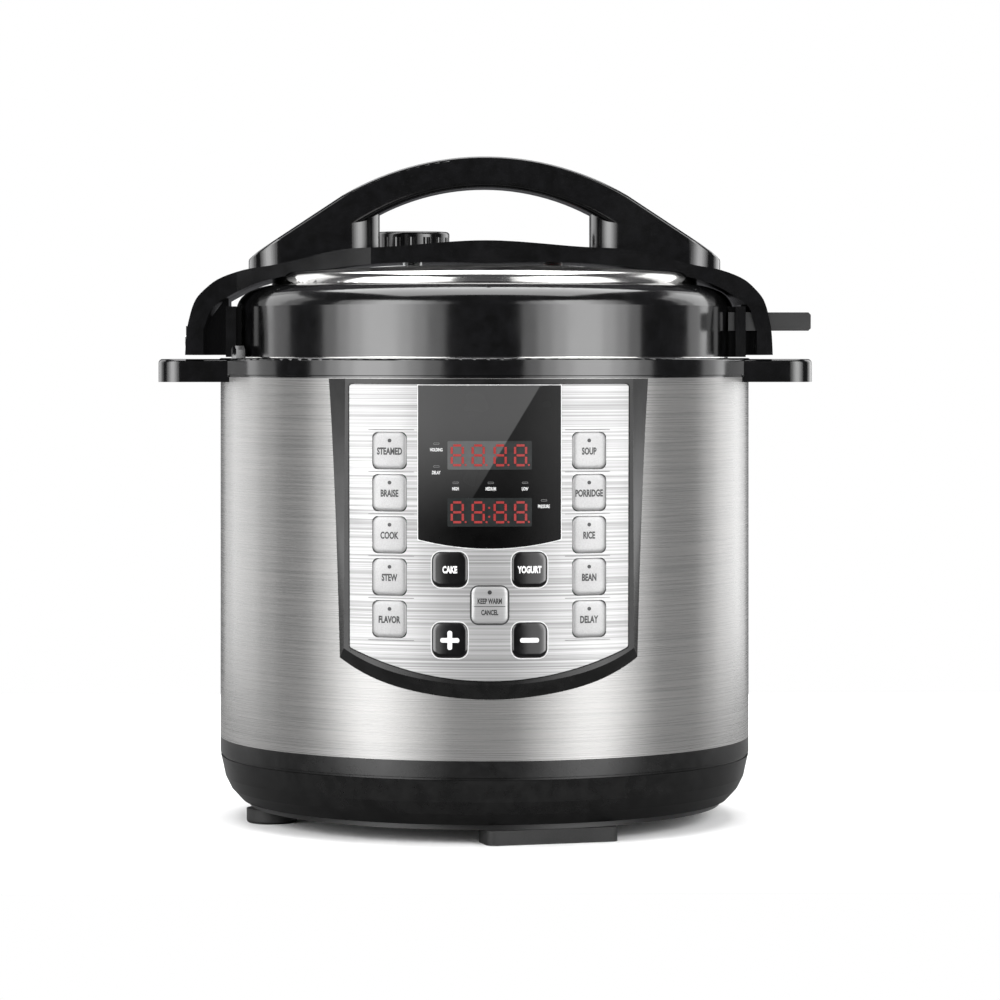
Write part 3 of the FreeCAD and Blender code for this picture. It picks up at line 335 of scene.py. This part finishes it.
# sizes in mm; a row is how far a key lies under the panel's top, a roll is how far its rim drops and how wide
panel = {"top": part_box("panel_bezel")[1].z / mm, "plateRadius": 137.2, "keyRadius": 137.9, "keyBack": 134.3,
         "inkLift": 0.05}
silverKeys = {"x": 47.0, "size": (16.0, 17.3), "corner": 3.5, "rows": (33.8, 53.6, 73.4, 93.2, 113.0),
              "roll": (0.7, 2.3), "wordHeight": 3.5, "wordDrop": 0.2, "dot": 0.9, "dotRise": 4.8,
              "left": ("STEAMED", "BRAISE", "COOK", "STEW", "FLAVOR"),
              "right": ("SOUP", "PORRIDGE", "RICE", "BEAN", "DELAY")}
blackKeys = {"x": 18.7, "size": (16.4, 16.4), "corner": 4.0, "rows": (89.4, 122.5), "roll": (0.7, 2.0),
             "wordHeight": 3.5, "signLong": 8.9, "signThick": 2.2, "signRound": 0.9}
cancelKey = {"size": (17.1, 17.3), "corner": 3.0, "row": 106.0, "roll": (0.7, 2.3), "wordHeight": 2.6,
             "upperRise": 1.9, "lowerDrop": 3.4, "ruler": (14.6, 0.3), "rulerDrop": 0.6, "dot": 1.0,
             "dotRise": 6.0}
rimInsets = (0.12, 0.2, 0.3, 0.4, 0.6, 0.9)  # rows of faces that the rounded rim of a key is bent from
inkDepth = 0.1


def keyCap(x, z, size, corner, drop, roll):
    # a rounded block whose front is laid on the round panel and rolls off by drop over roll mm at its rim
    mesh = bmesh.new()
    bmesh.ops.create_cube(mesh, size=1.0)
    bmesh.ops.scale(mesh, vec=(size[0] * mm, 6 * mm, size[1] * mm), verts=mesh.verts[:])
    upright = [e for e in mesh.edges if abs(e.verts[0].co.y - e.verts[1].co.y) > mm]
    bmesh.ops.bevel(mesh, geom=upright, offset=corner * mm, segments=6, profile=0.5, affect="EDGES",
                    material=-1)
    front = [f for f in mesh.faces if f.normal.y < -0.9]
    for thick in rimInsets:
        bmesh.ops.inset_region(mesh, faces=front, thickness=thick * mm, depth=0, use_even_offset=True)
    for i in range(1, 10):
        cutAcross(mesh, (i / 10 - 0.5) * size[0] * mm)
    for v in mesh.verts:
        dx = abs(v.co.x) / mm - size[0] / 2 + corner
        dz = abs(v.co.z) / mm - size[1] / 2 + corner
        inside = corner - math.hypot(max(dx, 0), max(dz, 0)) - min(max(dx, dz), 0)
        t = min(max(inside / roll, 0), 1)
        back = v.co.y > 0
        radius = (panel["keyBack"] if back else panel["keyRadius"]) * mm
        v.co.x += x * mm
        v.co.z += z * mm
        v.co.y = -math.sqrt(radius ** 2 - v.co.x ** 2)
        if not back:
            v.co.y += drop * mm * (1 - math.sqrt(1 - (1 - t) ** 2))
    return mesh


def placeKey(name, x, z, spec, finishes, marks):
    mesh = keyCap(x, z, spec["size"], spec["corner"], *spec["roll"])
    for mark in marks:
        onFront(mark, panel["keyRadius"] + panel["inkLift"])
        thicken(mark, inkDepth)
        merge(mesh, mark, 1)
    return newPiece("cap_" + name, mesh, finishes, "b_" + name, replaced=(name,))


for side, sign in (("left", -1), ("right", 1)):
    for number, row in enumerate(silverKeys["rows"], 1):
        x, z = sign * silverKeys["x"], panel["top"] - row
        marks = [words(silverKeys[side][number - 1], silverKeys["wordHeight"], x, z - silverKeys["wordDrop"],
                       weight=0.04),
                 disc(silverKeys["dot"], x, z + silverKeys["dotRise"])]
        placeKey("key_%s_%d" % (side, number), x, z, silverKeys, (keyLacquer, darkInk), marks)

for name, sign, row in (("key_upper_left", -1, 0), ("key_upper_right", 1, 0),
                        ("key_lower_left", -1, 1), ("key_lower_right", 1, 1)):
    x = sign * blackKeys["x"]
    z = panel["top"] - blackKeys["rows"][row]
    long, thick, rounding = blackKeys["signLong"], blackKeys["signThick"], blackKeys["signRound"]
    if row == 0:
        marks = [words("CAKE" if sign < 0 else "YOGURT", blackKeys["wordHeight"], x, z, weight=0.05)]
    else:
        marks = [sheetOf(long, thick, x, z, rounding)]
        if sign < 0:
            marks.append(sheetOf(thick, long, x, z, rounding))
    placeKey(name, x, z, blackKeys, (glossAbs, whiteInk), marks)

z = panel["top"] - cancelKey["row"]
marks = [words("KEEP WARM", cancelKey["wordHeight"], 0, z + cancelKey["upperRise"], weight=0.04),
         words("CANCEL", cancelKey["wordHeight"], 0, z - cancelKey["lowerDrop"], weight=0.04),
         sheetOf(*cancelKey["ruler"], 0, z - cancelKey["rulerDrop"]),
         disc(cancelKey["dot"], 0, z + cancelKey["dotRise"])]
placeKey("key_cancel", 0.0, z, cancelKey, (keyFilm, darkInk), marks)
print("keys placed")

# the sensor's spring sits between the sensor, which it rides on, and its bracket; a copy of its mesh with
# doubled points merged replaces it
low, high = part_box("sensor_spring")
mesh = bmesh.new()
mesh.from_mesh(nodes["sensor_spring"].data)
bmesh.ops.remove_doubles(mesh, verts=mesh.verts[:], dist=0.01 * mm)
springPiece = newPiece("sensor_coil", mesh, (platedSteel,), "sensor",
                       replaced=("sensor_spring",))
height = high.z - low.z
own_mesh(springPiece)
print("spring wound")

# printing on the panel

plate = {"lineX": (35.5, 57.0), "lineHeight": 0.4, "linePitch": 19.8, "lines": 6, "rimOut": 0.66,
         "rimLine": 0.36, "cancelOut": 0.7, "cancelLine": 0.6, "cancelCorner": 4.0}
window = {"halfWidth": 33.6, "top": 218.0, "corner": 145.3, "lowest": 141.1, "clear": 0.3, "line": 0.28,
          "lift": 0.04, "steps": 40}
indicators = {"wordHeight": 1.6, "lamp": (2.8, 0.9), "lampRise": 2.8, "lampCorner": 0.4, "lampLine": 0.16,
              "places": (("HOLDING", -25.0, 187.5), ("DELAY", -25.0, 176.8), ("HIGH", -16.0, 169.2),
                         ("MEDIUM", 0.5, 169.2), ("LOW", 16.6, 169.2), ("PRESSURE", 25.5, 160.9))}
display = {"xs": (-15.2, -5.4, 4.9, 14.5), "digit": (6.2, 10.3), "bar": 1.05, "gap": 0.35, "upper": 184.9,
           "lower": 158.2, "dot": 0.5, "dotAside": 0.8, "dotRise": 0.6, "colonX": -0.25, "colonRise": 2.1,
           "lift": 0.16, "lens": (39.6, 13.4), "lensCorner": 0.6, "lensLift": 0.06, "lensDepth": 0.2}

whites, greys, darks = bmesh.new(), bmesh.new(), bmesh.new()
firstLine = panel["top"] - silverKeys["rows"][0] + plate["linePitch"] / 2
width = plate["lineX"][1] - plate["lineX"][0]
for i in range(plate["lines"]):
    for sign in (-1, 1):
        merge(greys, sheetOf(width, plate["lineHeight"], sign * sum(plate["lineX"]) / 2,
                             firstLine - i * plate["linePitch"]))
for row in blackKeys["rows"]:
    for sign in (-1, 1):
        rim = sheetOf(blackKeys["size"][0] + 2 * plate["rimOut"], blackKeys["size"][1] + 2 * plate["rimOut"],
                      sign * blackKeys["x"], panel["top"] - row, blackKeys["corner"] + plate["rimOut"])
        frameOnly(rim, plate["rimLine"])
        merge(whites, rim)
rim = sheetOf(cancelKey["size"][0] + 2 * plate["cancelOut"], cancelKey["size"][1] + 2 * plate["cancelOut"], 0,
              panel["top"] - cancelKey["row"], plate["cancelCorner"])
frameOnly(rim, plate["cancelLine"])
merge(darks, rim)
for text, x, z in indicators["places"]:
    merge(whites, words(text, indicators["wordHeight"], x, z, squeeze=0.6, weight=0.02))
    lamp = sheetOf(*indicators["lamp"], x, z + indicators["lampRise"], indicators["lampCorner"])
    frameOnly(lamp, indicators["lampLine"])
    merge(greys, lamp)
for name, lettering, ink, lift in (("panel_white_print", whites, whiteInk, 0.08),
                                   ("panel_grey_print", greys, greyInk, 0.08),
                                   ("panel_dark_print", darks, darkInk, 0.05)):
    onFront(lettering, panel["plateRadius"] + lift)
    thicken(lettering, inkDepth)
    newPiece(name, lettering, (ink,), "cooker")

# a pale hairline runs round the smoked window and follows its curved foot
width = 2 * (window["halfWidth"] + window["clear"])
middle = (window["top"] + window["corner"]) / 2
outline = sheetOf(width, window["top"] - window["corner"], 0, middle)
for i in range(1, window["steps"]):
    cutAcross(outline, (i / window["steps"] - 0.5) * width * mm)
for v in outline.verts:
    if v.co.z < middle * mm:
        share = abs(v.co.x) / (window["halfWidth"] * mm)
        v.co.z -= (window["corner"] - window["lowest"]) * mm * max(0, 1 - share ** 2) + window["clear"] * mm
frameOnly(outline, window["line"])
onFront(outline, panel["plateRadius"] + window["lift"])
thicken(outline, inkDepth)
newPiece("window_hairline", outline, (whiteInk,), "cooker")

# the seven bars of a digit: side, height as a share of the digit, and whether it stands
bars = ((0, 1, 0), (1, 0.5, 1), (1, -0.5, 1), (0, -1, 0), (-1, -0.5, 1), (-1, 0.5, 1), (0, 0, 0))


def segment(length, thick, x, z, standing):
    # a six-sided bar with pointed ends
    mesh = bmesh.new()
    bmesh.ops.create_circle(mesh, cap_ends=True, segments=6, radius=1.0)
    for v in mesh.verts:
        along = math.copysign(length / 2 - (thick / 2 if abs(v.co.y) > 0.1 else 0), v.co.x)
        across = math.copysign(thick / 2, v.co.y) if abs(v.co.y) > 0.1 else 0
        u, w = (across, along) if standing else (along, across)
        v.co = Vector(((x + u) * mm, 0, (z + w) * mm))
    return mesh


for level in ("upper", "lower"):
    lit = bmesh.new()
    wide, tall = display["digit"]
    for x in display["xs"]:
        for right, up, standing in bars:
            reach = (wide - display["bar"]) / 2 if right else 0
            lift = (tall - display["bar"]) / 2
            long = (lift if standing else wide - display["bar"]) - display["gap"]
            merge(lit, segment(long, display["bar"], x + right * reach, display[level] + up * lift, standing))
        merge(lit, disc(display["dot"], x + wide / 2 + display["dotAside"],
                        display[level] - tall / 2 + display["dotRise"], 12))
    if level == "lower":
        for up in (-1, 1):
            merge(lit, disc(display["dot"], display["colonX"],
                            display[level] + up * display["colonRise"], 12))
    onFront(lit, panel["plateRadius"] + display["lift"], 3.0)
    thicken(lit, inkDepth)
    newPiece("digits_" + level, lit, (litRed,), "cooker")

    lens = sheetOf(*display["lens"], 0, display[level], display["lensCorner"])
    onFront(lens, panel["plateRadius"] + display["lensLift"])
    thicken(lens, display["lensDepth"])
    newPiece("lens_" + level, lens, (lensFace,), "cooker")
print("panel printed")


# stage, light and camera, in metres
studio = {
    "floor": (1.4, 0.95, 0.2),  # width, depth, how far its middle lies behind the object's
    "floorShade": (0.16, 0.16, 0.16, 1),  # what the floor throws back up
    "roomShade": (0.09, 0.09, 0.095, 1),  # what the room adds to the lamps
    "boxes": (
        # azimuth from the front in degrees, distance, height, lift of the middle, brightness, layer widths
        (-48, 2.0, 2.4, 0.9, 2.2, (2.3, 1.6, 1.1, 0.6)), (44, 2.0, 2.4, 0.9, 2.1, (2.2, 1.6, 1.1, 0.6)),
        (-126, 2.2, 2.4, 0.9, 1.2, (2.2, 1.1)), (128, 2.2, 2.4, 0.9, 1.5, (2.0, 1.1))),
    "top": (1.7, 1.6, 5.5)}  # height, size, brightness
floorMesh = bmesh.new()
bmesh.ops.create_grid(floorMesh, x_segments=1, y_segments=1, size=0.5)
bmesh.ops.scale(floorMesh, vec=(studio["floor"][0], studio["floor"][1], 1), verts=floorMesh.verts[:])
bmesh.ops.translate(floorMesh, vec=(0, studio["floor"][2], 0), verts=floorMesh.verts[:])
data = bpy.data.meshes.new("floor")
floorMesh.to_mesh(data)
floorMesh.free()
floor = bpy.data.objects.new("floor", data)
bpy.context.scene.collection.objects.link(floor)
paper = finish("whitePaperFloor", ("#f2f2f2", "#f7f7f7"), (40, 40, 40), (0.7, 0.8))
tree = paper.node_tree
# the camera sees pale paper and all other rays meet a darker one, which keeps the black parts dark
direct = addNode(tree, "LightPath")
dimmed = addNode(tree, "BsdfDiffuse", {"Color": studio["floorShade"]})
both = addNode(tree, "MixShader", {}, {0: direct.outputs["Is Camera Ray"], 1: dimmed.outputs[0],
                                       2: tree.nodes["Principled BSDF"].outputs[0]})
tree.links.new(both.outputs[0], tree.nodes["Material Output"].inputs["Surface"])
data.materials.append(paper)


def areaLight(name, place, aim, width, height, brightness):
    lamp = bpy.data.lights.new(name, "AREA")
    lamp.shape, lamp.size, lamp.size_y = "RECTANGLE", width, height
    lamp.energy = brightness * math.pi * width * height
    holder = bpy.data.objects.new(name, lamp)
    holder.location = place
    holder.rotation_mode = "QUATERNION"
    holder.rotation_quaternion = (Vector(aim) - Vector(place)).to_track_quat("-Z", "Y")
    bpy.context.scene.collection.objects.link(holder)


for i, (azimuth, far, height, lift, brightness, widths) in enumerate(studio["boxes"]):
    a = math.radians(azimuth)
    for layer, width in enumerate(widths):  # layers give each box a soft edge
        reach = far + 0.01 * layer
        areaLight("softbox%d_%d" % (i, layer), (reach * math.sin(a), -reach * math.cos(a), lift),
                  (0, 0, lift), width, height, brightness)
topHigh, topSize, topBright = studio["top"]
areaLight("overhead", (0, 0.3, topHigh), (0, 0.1, 0), topSize, topSize, topBright)

world = bpy.data.worlds.new("studio")
bpy.context.scene.world = world
world.use_nodes = True
tree = world.node_tree
tree.nodes.clear()
# the camera sees white and all other rays a dim room, for the same reason
seen = addNode(tree, "LightPath")
shade = addNode(tree, "Mix", {"data_type": "RGBA", 6: studio["roomShade"], 7: (1, 1, 1, 1)},
                {0: seen.outputs["Is Camera Ray"]})
glow = addNode(tree, "Background", {"Strength": 1.0}, {"Color": shade.outputs[2]})
sky = addNode(tree, "OutputWorld")
tree.links.new(glow.outputs[0], sky.inputs["Surface"])
bpy.context.scene.view_settings.view_transform = "Standard"

eye = {"distance": 1.89, "height": 0.2305, "turn": math.radians(1.0), "lens": 134.7,
       "shift": (0.0154, -0.142)}
lens = bpy.data.cameras.new("eye")
lens.lens, lens.sensor_width = eye["lens"], 36.0
lens.shift_x, lens.shift_y = eye["shift"]
lens.clip_start, lens.clip_end = 0.1, 20.0
camera = bpy.data.objects.new("eye", lens)
camera.location = (-eye["distance"] * math.sin(eye["turn"]), -eye["distance"] * math.cos(eye["turn"]),
                   eye["height"])
camera.rotation_euler = (math.pi / 2, 0, -eye["turn"])
bpy.context.scene.collection.objects.link(camera)
bpy.context.scene.camera = camera
print("stage set")
